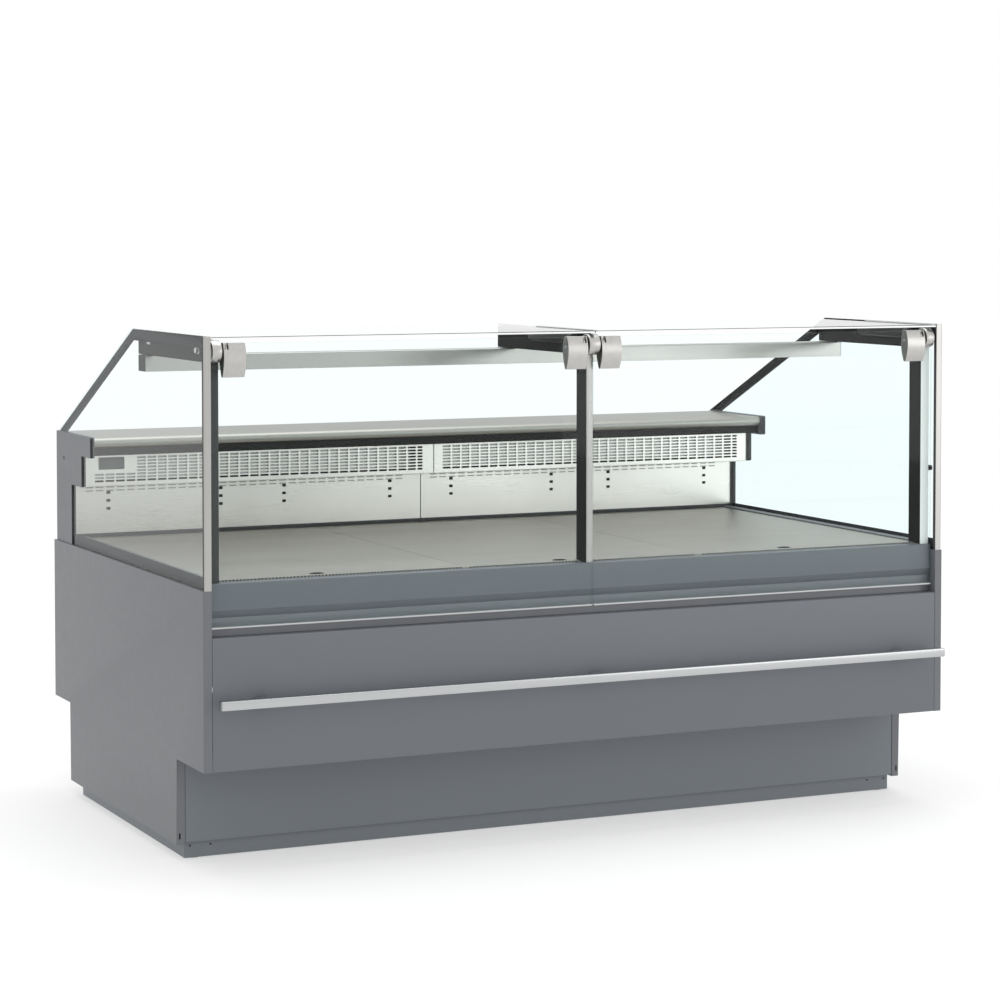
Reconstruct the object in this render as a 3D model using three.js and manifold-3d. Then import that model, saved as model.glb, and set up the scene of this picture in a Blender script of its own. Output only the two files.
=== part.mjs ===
// Refrigerated deli counter with two lift-up front glasses, a flat display deck and a rear worktop.
// Millimetres. +X runs along the counter, +Y from the customer to the operator, +Z up from the floor.
// Inside the group, y is the depth behind the face of the front panel and x is zero mid-length.
import * as THREE from 'three';
import { mergeVertices } from 'three/addons/utils/BufferGeometryUtils.js';
import Module from 'manifold-3d';

const wasm = await Module();
wasm.setup();

// ---- driving dimensions -------------------------------------------------------------------
const caseLength = 2040;
const bodyDepth = 1234;
const caseHeight = 1264;
const bumperReach = 55;

// lower body
const endThickness = 21;
const bodyBottom = 246;
const bodyTop = 671;
const panelFoot = 38;
const plinthFront = 201;
const plinthRear = 1090;
const frontPanelTop = 560;
const sheet = 1.5;
const plate = 2;

// base
const frameBottom = 50;
const frameTop = 90;
const railWidth = 50;
const frameWall = 3;
const trayTop = 93;
const skirtInset = 24;
const skirtFront = 216;
const skirtRear = 1045;

// insulated tub and deck
const tubFront = 37;
const tubFrontWall = 30;
const tubRear = 1175;
const tubWall = 40;
const tubTop = 683;
const tubBottom = 440;
const tubFloor = 485;
const deckTop = 688;
const deckUnder = 685;
const deckFrameUnder = 665;
const deckFront = 57;
const deckRear = 1085;
const deckHalf = 972;
const deckGap = 1.5;

// rear upper structure
const cheekOuter = 1016;
const cheekInner = 1004;
const cheekRear = 1219;
const worktopTop = 966;
const worktopUnder = 939;
const worktopFront = 914.5;
const worktopRear = 1212;
const grilleFace = 994;
const grilleBottom = 837;
const backPanelFace = 1087;
const backPanelTop = 829;
const backPanelBottom = 697;
const rearPanelFace = 1208;

// glazing and its hinges
const glassThickness = 6;
const sideGlassOuter = 1012;
const glassPlane = 15;
const glassBottom = 583.5;
const glassTop = 1247;
const glassHalf = 995;
const glassSplit = 2;
const notchHeight = 1197;
const topGlassUnder = 1256;
const topGlassRear = 566;
const sideGlassKnee = 1217;
const hingeDepth = 27;
const hingeHeight = 1227.5;
const knuckleRadius = 26.5;
const centreKnuckleHalf = 15;
const endKnuckle = [970, 994];
const clampWidth = 55;
const clampGap = 4;
const clampBlock = 14.4;
const clampTop = 1248;
const clampFoot = 1167;
const pinRadius = 4;
const armBottom = 1201;
const armRear = 555;
const armHalf = 8;
const endArm = [980, 996];
const postFront = 32;
const postRear = 88;
const postWidth = 18;

const half = caseLength / 2;
const innerHalf = half - endThickness;
const clearance = 0.3;

// ---- colours and finishes -----------------------------------------------------------------
function finish(color, roughness, metalness, opacity = 1) {
  return new THREE.MeshStandardMaterial({
    color, roughness, metalness, opacity, transparent: opacity < 1,
  });
}

const paint = () => finish(0x7b7f86, 0.45, 0.1);
const stainless = () => finish(0xc9cac5, 0.32, 1);
const darkPlastic = () => finish(0x2f3131, 0.5, 0);
const clearGlass = () => finish(0xe9fbfb, 0.02, 0, 0.25);
const castAluminium = () => finish(0xb4b5b0, 0.38, 0.9);
const galvanised = () => finish(0x9a9ea0, 0.5, 0.8);
const whiteFoam = () => finish(0xd9dad6, 0.7, 0);

// ---- geometry helpers ---------------------------------------------------------------------
const counter = new THREE.Group();
counter.position.y = bumperReach - (bodyDepth + bumperReach) / 2;
const model = new THREE.Group();
model.add(counter);

function add(name, geometry, material) {
  const mesh = new THREE.Mesh(geometry, material);
  mesh.name = name;
  counter.add(mesh);
  return mesh;
}

function box(x, y, z) {
  const [width, depth, height] = [x[1] - x[0], y[1] - y[0], z[1] - z[0]];
  const geometry = new THREE.BoxGeometry(width, depth, height);
  return geometry.translate((x[0] + x[1]) / 2, (y[0] + y[1]) / 2, (z[0] + z[1]) / 2);
}

// The same span on the left (side = -1) or right (side = 1) of the counter, in rising order.
function span(side, near, far) {
  return side > 0 ? [near, far] : [-far, -near];
}

function outline(points) {
  return new THREE.Shape(points.map(([a, b]) => new THREE.Vector2(a, b)));
}

function extrude(shape, depth, curveSegments = 10) {
  return new THREE.ExtrudeGeometry(shape, { depth, bevelEnabled: false, curveSegments });
}

// A section drawn in depth and height, run along the counter.
function alongX(shape, x) {
  const turn = new THREE.Matrix4().makeBasis(
    new THREE.Vector3(0, 1, 0), new THREE.Vector3(0, 0, 1), new THREE.Vector3(1, 0, 0));
  return extrude(shape, x[1] - x[0]).applyMatrix4(turn).translate(x[0], 0, 0);
}

// A face drawn in length and height, given a thickness in depth.
function alongY(shape, y) {
  return extrude(shape, y[1] - y[0]).rotateX(Math.PI / 2).translate(0, y[1], 0);
}

// A plan drawn in length and depth, given a height.
function alongZ(shape, z) {
  return extrude(shape, z[1] - z[0]).translate(0, 0, z[0]);
}

function cylinderX(x, y, z, radius, segments = 32) {
  const geometry = new THREE.CylinderGeometry(radius, radius, x[1] - x[0], segments);
  return geometry.rotateZ(Math.PI / 2).translate((x[0] + x[1]) / 2, y, z);
}

function cylinderY(x, y, z, radius, segments = 32) {
  const geometry = new THREE.CylinderGeometry(radius, radius, y[1] - y[0], segments);
  return geometry.translate(x, (y[0] + y[1]) / 2, z);
}

function cylinderZ(x, y, z, radius, segments = 32) {
  const geometry = new THREE.CylinderGeometry(radius, radius, z[1] - z[0], segments);
  return geometry.rotateX(Math.PI / 2).translate(x, y, (z[0] + z[1]) / 2);
}

// A body of revolution about a vertical axis, from [radius, height] points that start and end on it.
function turned(points, x, y, segments = 28) {
  const profile = points.map(([r, h]) => new THREE.Vector2(r, h));
  return new THREE.LatheGeometry(profile, segments).rotateX(Math.PI / 2).translate(x, y, 0);
}

function solid(geometry) {
  const bare = geometry.clone();
  bare.deleteAttribute('normal');
  bare.deleteAttribute('uv');
  const merged = mergeVertices(bare, 1e-4);
  return new wasm.Manifold(new wasm.Mesh({
    numProp: 3,
    vertProperties: new Float32Array(merged.attributes.position.array),
    triVerts: new Uint32Array(merged.index.array),
  }));
}

function surface(manifold) {
  const mesh = manifold.getMesh();
  const geometry = new THREE.BufferGeometry();
  geometry.setAttribute('position', new THREE.BufferAttribute(mesh.vertProperties, 3));
  geometry.setIndex(new THREE.BufferAttribute(mesh.triVerts, 1));
  geometry.computeVertexNormals();
  return geometry;
}

function join(...geometries) {
  return surface(geometries.map(solid).reduce((whole, piece) => whole.add(piece)));
}

function cut(geometry, ...tools) {
  return surface(tools.map(solid).reduce((whole, tool) => whole.subtract(tool), solid(geometry)));
}

// ---- base: feet, frame, kick skirt and plinth -----------------------------------------------
function foot(x, y) {
  const boltTop = frameTop - frameWall;
  return turned([[0, 0], [25, 0], [25, 5], [12, 12], [8, 14], [8, boltTop], [0, boltTop]], x, y);
}

// Ladder of three bays with everything inside or outside its rails moved in by `inset`.
function ladder(inset, z) {
  const [front, rear] = [skirtFront, plinthRear - 21];
  const [end, cross] = [innerHalf - railWidth, { at: 350, half: 20 }];
  const bays = [[-end, -cross.at - cross.half], [cross.half - cross.at, cross.at - cross.half],
    [cross.at + cross.half, end]];
  return cut(box([inset - innerHalf, innerHalf - inset], [front + inset, rear - inset], z),
    ...bays.map(([near, far]) => box([near - inset, far + inset],
      [front + railWidth - inset, rear - railWidth + inset], [z[0] - 1, z[1] + 1])));
}

// Channel-section rails, open below, with the tray of the condensing unit on top.
function baseFrame() {
  const rails = cut(ladder(0, [frameBottom, frameTop]),
    ladder(frameWall, [frameBottom - 1, frameTop - frameWall]));
  return join(rails, box([-760, 350], [620, plinthRear - 26], [frameTop - 0.5, trayTop]));
}

function kickSkirt() {
  const x = half - skirtInset;
  return cut(box([-x, x], [skirtFront, skirtRear], [plate, frameBottom]),
    box([-x + plate, x - plate], [skirtFront + plate, skirtRear - plate], [0, frameBottom + 1]));
}

function rearPlinthGrille() {
  const [pitch, reach, slotHalf] = [30, 345, 5];
  const slots = [];
  for (let x = -reach; x <= reach; x += pitch) {
    slots.push(box([x - slotHalf, x + slotHalf], [plinthRear - plate - 1, plinthRear + 1], [95, 215]));
  }
  return cut(box([-innerHalf, innerHalf], [plinthRear - plate, plinthRear], [panelFoot + 5, bodyBottom]),
    ...slots);
}

for (const [endName, x] of [['left', -968], ['right', 968]]) {
  add(`foot_front_${endName}`, foot(x, skirtFront + 30), darkPlastic());
  add(`foot_rear_${endName}`, foot(x, skirtRear - 30), darkPlastic());
}
add('base_frame', baseFrame(), galvanised());
add('kick_skirt', kickSkirt(), paint());
add('plinth_panel_front', box([-innerHalf, innerHalf], [plinthFront, plinthFront + plate],
  [panelFoot + 5, bodyBottom]), paint());
add('plinth_grille_rear', rearPlinthGrille(), paint());

// ---- painted body panels ----------------------------------------------------------------------
function endPanel(side) {
  const face = outline([
    [0, bodyTop], [bodyDepth, bodyTop], [bodyDepth, bodyBottom], [plinthRear, bodyBottom],
    [plinthRear, panelFoot], [plinthFront, panelFoot], [plinthFront, bodyBottom], [0, bodyBottom],
  ]);
  return alongX(face, span(side, innerHalf, half));
}

function frontPanel() {
  const lip = 16;
  const section = outline([
    [0, bodyBottom], [0, frontPanelTop], [lip, frontPanelTop], [lip, frontPanelTop - sheet],
    [sheet, frontPanelTop - sheet], [sheet, bodyBottom + sheet], [lip, bodyBottom + sheet],
    [lip, bodyBottom],
  ]);
  return alongX(section, [-innerHalf, innerHalf]);
}

// Bent sheet above the front panel: a recess, a sloping undercut, the fascia and its top ledge.
function frontCapping() {
  const section = outline([
    [18, frontPanelTop], [34, frontPanelTop], [34, 603], [22, 621.5], [22, deckUnder],
    [56, deckUnder], [56, deckUnder - plate], [24, deckUnder - plate], [24, 622.2],
    [36, 603.7], [36, frontPanelTop - plate], [18, frontPanelTop - plate],
  ]);
  return alongX(section, [-innerHalf, innerHalf]);
}

// Square tube on three stand-off brackets.
function bumperRail() {
  const size = 22;
  const [front, bottom, reach] = [-bumperReach, 398, 995];
  const tube = cut(box([-reach, reach], [front, front + size], [bottom, bottom + size]),
    box([-reach - 1, reach + 1], [front + sheet, front + size - sheet],
      [bottom + sheet, bottom + size - sheet]));
  const brackets = [-880, 0, 880].map((x) =>
    box([x - 15, x + 15], [front + size - 0.5, 0], [bottom + 3, bottom + size - 3]));
  return join(tube, ...brackets);
}

for (const [endName, side] of [['left', -1], ['right', 1]]) {
  add(`end_panel_${endName}`, endPanel(side), paint());
}
add('front_panel', frontPanel(), paint());
add('front_capping', frontCapping(), paint());
add('bumper_rail', bumperRail(), stainless());

// ---- insulated tub with its drain spigot, deck frame and deck plates --------------------------
function insulatedTub() {
  const outer = box([-innerHalf, innerHalf], [tubFront, tubRear], [tubBottom, tubTop]);
  const rearWall = box([-innerHalf, innerHalf], [tubRear - tubWall, tubRear], [tubFloor, worktopUnder]);
  const inner = box([-innerHalf + tubWall, innerHalf - tubWall],
    [tubFront + tubFrontWall, tubRear - tubWall], [tubFloor, tubTop + 1]);
  const drain = { x: -200, y: 300, wall: 20, bore: 16, foot: 385 };
  const spigot = cylinderZ(drain.x, drain.y, [drain.foot, tubBottom + 5], drain.wall, 24);
  const bore = cylinderZ(drain.x, drain.y, [drain.foot - 1, tubFloor + 1], drain.bore, 24);
  return cut(join(outer, rearWall, spigot), inner, bore);
}

function deckFrame() {
  const reach = innerHalf - tubWall;
  const [front, rear] = [tubFront + tubFrontWall, tubRear - tubWall];
  const rail = { front: 10, rear: 60, end: 25, bearer: 10 };
  const third = deckHalf / 3;
  const bays = [[rail.end - reach, -third - rail.bearer], [rail.bearer - third, third - rail.bearer],
    [third + rail.bearer, reach - rail.end]];
  return cut(box([-reach, reach], [front, rear], [deckFrameUnder, deckUnder]), ...bays.map((bay) =>
    box(bay, [front + rail.front, rear - rail.rear], [deckFrameUnder - 1, deckUnder + 1])));
}

// Lift-out plate with a finger hole; the middle one is notched round the centre post.
function deckPlate(index) {
  const width = (2 * deckHalf) / 3;
  const x = [-deckHalf + index * width + deckGap / 2, -deckHalf + (index + 1) * width - deckGap / 2];
  const [notchHalf, notchDepth] = [12, postRear + 3];
  const edge = index === 1
    ? [[-notchHalf, deckFront], [-notchHalf, notchDepth], [notchHalf, notchDepth], [notchHalf, deckFront]]
    : [];
  const face = outline([[x[0], deckFront], ...edge, [x[1], deckFront], [x[1], deckRear], [x[0], deckRear]]);
  const finger = new THREE.Shape();
  finger.absellipse((x[0] + x[1]) / 2 - 55, deckFront + 33, 17, 12, 0, 2 * Math.PI, false);
  return cut(alongZ(face, [deckUnder, deckTop]), alongZ(finger, [deckUnder - 1, deckTop + 1]));
}

add('insulated_tub', insulatedTub(), whiteFoam());
add('deck_frame', deckFrame(), stainless());
['left', 'centre', 'right'].forEach((place, index) => {
  add(`deck_plate_${place}`, deckPlate(index), stainless());
});

// ---- air duct, worktop and rear panel ---------------------------------------------------------
function airGrille(side) {
  const top = 917.7;
  const section = outline([
    [grilleFace, grilleBottom], [grilleFace, top], [grilleFace + 16, top], [grilleFace + 16, top - sheet],
    [grilleFace + sheet, top - sheet], [grilleFace + sheet, grilleBottom + sheet],
    [backPanelFace - clearance, backPanelTop + 2 * sheet], [backPanelFace - clearance, backPanelTop + sheet],
  ]);
  return alongX(section, span(side, deckGap / 2, cheekInner - clearance));
}

// Folded sheet with a rolled front edge.
function worktop() {
  const radius = (worktopTop - worktopUnder) / 2;
  const centre = [worktopFront + radius, worktopTop - radius];
  const section = (inset) => {
    const [rear, reach] = [worktopRear - inset, radius - inset];
    const shape = new THREE.Shape();
    shape.moveTo(rear, centre[1] - reach);
    shape.lineTo(rear, centre[1] + reach);
    shape.lineTo(centre[0], centre[1] + reach);
    shape.absarc(centre[0], centre[1], reach, Math.PI / 2, 1.5 * Math.PI, false);
    return shape;
  };
  const x = cheekInner - clearance;
  return cut(alongX(section(0), [-x, x]), alongX(section(plate), [-x - 1, x + 1]));
}

// Painted end bracket that closes the worktop, the air grille and the back panel at each side.
function cheekOutline(gap = 0) {
  return [
    [908 - gap, 968 + gap], [908 - gap, 914 - gap], [988 - gap, 914 - gap], [988 - gap, 832 - gap],
    [1080 - gap, 832 - gap], [1080 - gap, bodyTop],
  ];
}

function cheek(side) {
  const face = outline([...cheekOutline(), [cheekRear, bodyTop], [cheekRear, 968]]);
  return alongX(face, span(side, cheekInner, cheekOuter));
}

const controls = { x: [-770, -630], z: [770, 840], bezel: 4, depth: 26, switchX: -665, switchZ: 805 };

function rearPanel() {
  const { x, z } = controls;
  return cut(box([-innerHalf, innerHalf], [rearPanelFace - plate, rearPanelFace], [bodyBottom, worktopUnder]),
    box([x[0] + 10, x[1] - 10], [rearPanelFace - plate - 1, rearPanelFace + 1], [z[0] + 10, z[1] - 10]));
}

function controlPanel() {
  const { x, z, bezel, depth, switchX, switchZ } = controls;
  const inset = 10 + clearance;
  return cut(
    join(box(x, [rearPanelFace, rearPanelFace + bezel], z),
      box([x[0] + inset, x[1] - inset], [rearPanelFace - depth, rearPanelFace + 1],
        [z[0] + inset, z[1] - inset])),
    box([switchX - 7.3, switchX + 7.3], [rearPanelFace - 18, rearPanelFace + 10],
      [switchZ - 11.3, switchZ + 11.3]));
}

// Two-position rocker, tilted to its off side.
function rockerSwitch() {
  const [pivot, width, tilt] = [rearPanelFace - 3, 13, -Math.PI / 30];
  const section = outline([[-6, -7], [6.5, -9.5], [5.4, 0], [6.5, 9.5], [-6, 7]]);
  return alongX(section, [-width / 2, width / 2]).rotateX(tilt)
    .translate(controls.switchX, pivot, controls.switchZ);
}

for (const [endName, side] of [['left', -1], ['right', 1]]) {
  const x = span(side, deckGap / 2, cheekInner - clearance);
  const face = [backPanelFace, backPanelFace + sheet];
  add(`back_panel_${endName}`, box(x, face, [backPanelBottom, backPanelTop]), stainless());
  add(`air_grille_${endName}`, airGrille(side), stainless());
  add(`cheek_${endName}`, cheek(side), paint());
}
add('plenum_cap', box([-cheekInner + clearance, cheekInner - clearance], [930, 1130],
  [918, worktopUnder]), darkPlastic());
add('temperature_display', box([-966, -897], [grilleFace - 7, grilleFace], [876, 908]), darkPlastic());
add('worktop', worktop(), stainless());
add('rear_panel', rearPanel(), paint());
add('control_panel', controlPanel(), darkPlastic());
add('light_switch', rockerSwitch(), darkPlastic());

// ---- fixed glazing and its structure ------------------------------------------------------------
function sideGlass(side) {
  const profileDepth = 12;
  const face = outline([
    [profileDepth + clearance, bodyTop], [profileDepth + clearance, caseHeight],
    [topGlassRear, caseHeight], [sideGlassKnee, 968 + clearance], ...cheekOutline(clearance),
  ]);
  return alongX(face, span(side, sideGlassOuter - glassThickness, sideGlassOuter));
}

function post(x) {
  return box([x - postWidth / 2, x + postWidth / 2], [postFront, postRear], [deckUnder, armBottom]);
}

// Cantilever arm with the fixed hinge knuckle at its front and a pin towards each glass clamp.
function arm(armX, knuckleX, pinX) {
  const web = box(armX, [hingeDepth - 7, armRear], [armBottom, topGlassUnder]);
  const knuckle = cylinderX(knuckleX, hingeDepth, hingeHeight, knuckleRadius, 40);
  const pin = cylinderX(pinX, hingeDepth, hingeHeight, pinRadius, 20);
  const nose = box(knuckleX, [hingeDepth + 10, 60], [armBottom, hingeHeight + 20]);
  return join(web, knuckle, nose, pin);
}

// Closed counterbalance cylinder beside an arm, with its rod towards the hinge.
function counterbalance(x) {
  const [front, rear, radius] = [72, 320, 14];
  const profile = [[0, 60.5], [4, 60.5], [4, front], [radius - 3, front], [radius, front + 3],
    [radius, rear - 6], [radius - 6, rear], [0, rear]].map(([r, h]) => new THREE.Vector2(r, h));
  return new THREE.LatheGeometry(profile, 24).translate(x, 0, hingeHeight + 12);
}

// Inverted channel that carries the lamp.
function lightBar() {
  const [front, rear, bottom, wall] = [477, 530, 1160, 3];
  const section = outline([
    [front, bottom], [front, armBottom], [rear, armBottom], [rear, bottom], [rear - wall, bottom],
    [rear - wall, armBottom - wall], [front + wall, armBottom - wall], [front + wall, bottom],
  ]);
  return alongX(section, [-cheekInner, cheekInner]);
}

const pinReach = clampGap + 20;
const clampNear = { centre: centreKnuckleHalf + clampGap, end: endKnuckle[0] - clampGap - clampWidth };

for (const [endName, side] of [['left', -1], ['right', 1]]) {
  add(`side_glass_${endName}`, sideGlass(side), clearGlass());
  add(`edge_profile_${endName}`, box(span(side, innerHalf, innerHalf + 18), [0, 12],
    [bodyTop, caseHeight]), stainless());
  add(`post_${endName}`, post(side * 982), darkPlastic());
  add(`arm_${endName}`, arm(span(side, ...endArm), span(side, ...endKnuckle),
    span(side, endKnuckle[0] - pinReach, endKnuckle[1] - 5)), castAluminium());
  add(`top_glass_${endName}`, box(span(side, deckGap, innerHalf - 1), [2, topGlassRear],
    [topGlassUnder, topGlassUnder + glassThickness]), clearGlass());
}
add('post_centre', post(0), stainless());
add('arm_centre', arm([-armHalf, armHalf], [-centreKnuckleHalf, centreKnuckleHalf],
  [-centreKnuckleHalf - pinReach, centreKnuckleHalf + pinReach]), castAluminium());
add('counterbalance_left', counterbalance(-armHalf - 14 - clearance), darkPlastic());
add('counterbalance_right', counterbalance(endArm[0] - 14 - clearance), darkPlastic());
add('light_bar', lightBar(), stainless());

// ---- front glasses, each with two clamps and a bottom edge strip ---------------------------------
function frontGlass(side) {
  const endNotch = clampNear.end + clampWidth - clampBlock - clearance;
  const midNotch = clampNear.centre + clampBlock + clearance;
  const face = outline([
    [glassSplit, glassBottom], [glassHalf, glassBottom], [glassHalf, notchHeight],
    [endNotch, notchHeight], [endNotch, glassTop], [midNotch, glassTop], [midNotch, notchHeight],
    [glassSplit, notchHeight],
  ].map(([x, z]) => [side * x, z]));
  return alongY(face, [glassPlane, glassPlane + glassThickness]);
}

// Lens-shaped clamp: slotted over the glass, solid and bored for the hinge pin next to its knuckle.
function glassClamp(side, near, knuckleIsFar) {
  const middle = glassPlane + glassThickness / 2;
  const [bulge, topHalf, footHalf, crown] = [27, 7, 3.5, 1212];
  const section = new THREE.Shape();
  section.moveTo(middle - topHalf, clampTop);
  section.quadraticCurveTo(middle - bulge, crown, middle - footHalf, clampFoot);
  section.lineTo(middle + footHalf, clampFoot);
  section.quadraticCurveTo(middle + bulge, crown, middle + topHalf, clampTop);
  const far = near + clampWidth;
  const slotDepth = [glassPlane - clearance, glassPlane + glassThickness + clearance];
  const block = knuckleIsFar ? [far - clampBlock, far + 1] : [near - 1, near + clampBlock];
  const open = knuckleIsFar ? [near - 1, far - clampBlock] : [near + clampBlock, far + 1];
  const bore = knuckleIsFar ? [far - 21, far + 1] : [near - 1, near + 21];
  return cut(alongX(section, span(side, near, far)),
    box(span(side, ...open), slotDepth, [clampFoot - 1, clampTop + 1]),
    box(span(side, ...block), slotDepth, [clampFoot - 1, notchHeight + clearance]),
    cylinderX(span(side, ...bore), hingeDepth, hingeHeight, pinRadius + clearance, 20));
}

for (const [endName, side] of [['left', -1], ['right', 1]]) {
  add(`front_glass_${endName}`, frontGlass(side), clearGlass());
  add(`glass_trim_${endName}`, box(span(side, glassSplit, glassHalf), [glassPlane - 2, glassPlane + 8],
    [glassBottom - 3, glassBottom]), stainless());
  add(`glass_clamp_${endName}_end`, glassClamp(side, clampNear.end, true), castAluminium());
  add(`glass_clamp_${endName}_centre`, glassClamp(side, clampNear.centre, false), castAluminium());
}

// ---- refrigeration ---------------------------------------------------------------------------------
// Upright fins on flat horizontal tubes.
function finnedCoil(x, y, z, pitch, tubes) {
  const [fin, tube, edge] = [1.5, 6, 6];
  const rise = (z[1] - z[0] - tube) / (tubes + 1);
  const fins = Array.from({ length: tubes }, (_, index) => {
    const at = z[0] + (index + 1) * rise;
    return box(x, [y[0] + edge, y[1] - edge], [at, at + tube]);
  });
  for (let at = x[0]; at <= x[1] - fin; at += pitch) {
    fins.push(box([at, at + fin], y, z));
  }
  fins.push(box([x[1] - fin, x[1]], y, z));
  return join(...fins);
}

// Cowl ring, crossed struts and a bored motor behind a fan.
function fanMount(x, y, z, radius) {
  const [cowl, strut, motor] = [5, 12, 26];
  const ring = cut(cylinderY(x, y, z, radius + cowl), cylinderY(x, [y[0] - 1, y[1] + 1], z, radius));
  const back = [y[1] - 7, y[1] - 1];
  const reach = radius + cowl / 2;
  return cut(join(ring, box([x - reach, x + reach], back, [z - strut / 2, z + strut / 2]),
    box([x - strut / 2, x + strut / 2], back, [z - reach, z + reach]),
    cylinderY(x, [back[0], y[1] + 25], z, motor, 24)),
  cylinderY(x, [back[0] - 1, back[0] + 11], z, 4.4, 16));
}

function fanRotor(x, y, z, radius, blades) {
  const hub = cylinderY(x, y, z, 22, 24);
  const shaft = cylinderY(x, [y[1] - 1, y[1] + 12], z, 4, 16);
  const [reach, chord] = [radius - 15, (y[1] - y[0]) * 1.5];
  const wings = Array.from({ length: blades }, (_, index) => {
    const wing = new THREE.BoxGeometry(reach, 2, chord).rotateX(Math.PI / 3.2).translate(15 + reach / 2, 0, 0);
    return wing.rotateY((index * 2 * Math.PI) / blades).translate(x, (y[0] + y[1]) / 2, z);
  });
  return join(hub, shaft, ...wings);
}

const fans = { x: 300, y: 402, z: 575, radius: 75 };
const clearOfDeck = 4;

function fanPlate() {
  const [reach, front] = [innerHalf - tubWall, fans.y + 18];
  const places = [-fans.x, fans.x];
  const board = cut(box([-reach, reach], [front, front + plate], [tubFloor, deckFrameUnder - clearOfDeck]),
    ...places.map((x) => cylinderY(x, [front - 1, front + 3], fans.z, fans.radius)));
  return join(board, ...places.map((x) => fanMount(x, [front, front + 22], fans.z, fans.radius)));
}

function compressor(x, y) {
  const shell = turned([
    [0, trayTop + 8], [70, trayTop + 8], [86, trayTop + 30], [86, trayTop + 140], [80, trayTop + 170],
    [60, trayTop + 190], [30, trayTop + 199], [0, trayTop + 200],
  ], x, y);
  return join(shell, box([x - 110, x + 110], [y - 75, y + 75], [trayTop, trayTop + 10]));
}

const condenser = { x: [-230, 250], y: [985, 1045], z: [trayTop, 363], fanX: 10, fanY: 912, radius: 115 };

function condenserCoil() {
  const { x, y, z, fanX, fanY, radius } = condenser;
  const fanZ = (z[0] + z[1]) / 2;
  const cowlRear = fanY + 48;
  const hood = cut(box(x, [cowlRear, y[0] + 1], z),
    box([x[0] + 4, x[1] - 4], [cowlRear + 2, y[0] + 2], [z[0] + 4, z[1] - 4]),
    cylinderY(fanX, [cowlRear - 5, cowlRear + 5], fanZ, radius));
  return join(finnedCoil(x, y, z, 40, 5), hood, fanMount(fanX, [fanY + 10, cowlRear + 1], fanZ, radius));
}

add('evaporator_coil', finnedCoil([-600, 600], [640, 860], [495, 640], 50, 3), galvanised());
add('fan_plate', fanPlate(), galvanised());
for (const [endName, side] of [['left', -1], ['right', 1]]) {
  const y = [fans.y, fans.y + 26];
  add(`evaporator_fan_${endName}`, fanRotor(side * fans.x, y, fans.z, fans.radius - 5, 5), darkPlastic());
}
add('compressor', compressor(-600, 830), darkPlastic());
add('condenser_coil', condenserCoil(), galvanised());
add('condenser_fan', fanRotor(condenser.fanX, [condenser.fanY + 6, condenser.fanY + 36],
  (condenser.z[0] + condenser.z[1]) / 2, condenser.radius - 6, 6), darkPlastic());

export default model;
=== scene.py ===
"""Looks of the refrigerated deli counter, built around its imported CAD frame."""
import math

import bmesh
import bpy
from mathutils import Matrix, Vector


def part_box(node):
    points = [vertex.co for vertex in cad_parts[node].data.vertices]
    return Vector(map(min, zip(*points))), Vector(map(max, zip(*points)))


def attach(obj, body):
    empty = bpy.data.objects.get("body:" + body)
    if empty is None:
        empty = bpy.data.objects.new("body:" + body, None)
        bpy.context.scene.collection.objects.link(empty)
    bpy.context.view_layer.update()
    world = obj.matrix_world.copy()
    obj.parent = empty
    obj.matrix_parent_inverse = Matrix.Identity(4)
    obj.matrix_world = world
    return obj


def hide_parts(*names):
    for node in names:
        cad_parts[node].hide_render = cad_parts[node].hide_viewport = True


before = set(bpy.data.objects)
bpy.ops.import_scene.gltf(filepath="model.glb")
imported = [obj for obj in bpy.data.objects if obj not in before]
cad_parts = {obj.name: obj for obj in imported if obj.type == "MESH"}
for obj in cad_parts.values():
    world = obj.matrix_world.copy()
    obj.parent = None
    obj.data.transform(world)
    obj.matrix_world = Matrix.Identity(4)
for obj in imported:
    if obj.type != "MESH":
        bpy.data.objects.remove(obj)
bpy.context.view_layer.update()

MM = 0.001
ROOT = "case"
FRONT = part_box("front_panel")[0].y
PLANES = {"x": (1, 2), "y": (0, 2), "z": (0, 1)}
AXES = "xyz"


# ---- places ----
def at(x, d, z):
    """A point, in mm: x from mid-length, d behind the front panel's face, z above the floor."""
    return Vector((x * MM, FRONT + d * MM, z * MM))


def extents(node):
    """((x0, x1), (d0, d1), (z0, z1)) of a CAD node in mm."""
    low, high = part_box(node)
    return ((low.x / MM, high.x / MM), ((low.y - FRONT) / MM, (high.y - FRONT) / MM),
            (low.z / MM, high.z / MM))


def mirrored(side, near, far):
    return (near, far) if side > 0 else (-far, -near)


def around(middle, half):
    return middle - half, middle + half


def trimmed(span, cut):
    """The span with both its ends moved in by cut."""
    return span[0] + cut, span[1] - cut


def rect(a, b):
    """Outline of the rectangle over two spans."""
    return [(a[0], b[0]), (a[1], b[0]), (a[1], b[1]), (a[0], b[1])]


def oval(centre, a, b, count=36):
    """Outline of an ellipse with the half axes a and b."""
    turns = [2 * math.pi * k / count for k in range(count)]
    return [(centre[0] + a * math.cos(t), centre[1] + b * math.sin(t)) for t in turns]


SIDES = (("left", -1), ("right", 1))


# ---- mesh helpers ----
def placed(axis, pair, along):
    """The point whose coordinate on `axis` is `along` and whose other two are `pair`, in mm."""
    point = [0.0, 0.0, 0.0]
    point[AXES.index(axis)] = along
    for index, value in zip(PLANES[axis], pair):
        point[index] = value
    return at(*point)


def prism(bm, points, axis, span, index=0):
    """Closed solid with the outline `points` in the two other axes, from span[0] to span[1] along axis."""
    rings = [[bm.verts.new(placed(axis, p, along)) for p in points] for along in span]
    faces = [bm.faces.new(rings[0][::-1]), bm.faces.new(rings[1])]
    count = len(points)
    for i in range(count):
        j = (i + 1) % count
        faces.append(bm.faces.new((rings[0][i], rings[0][j], rings[1][j], rings[1][i])))
    for face in faces:
        face.material_index = index


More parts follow.
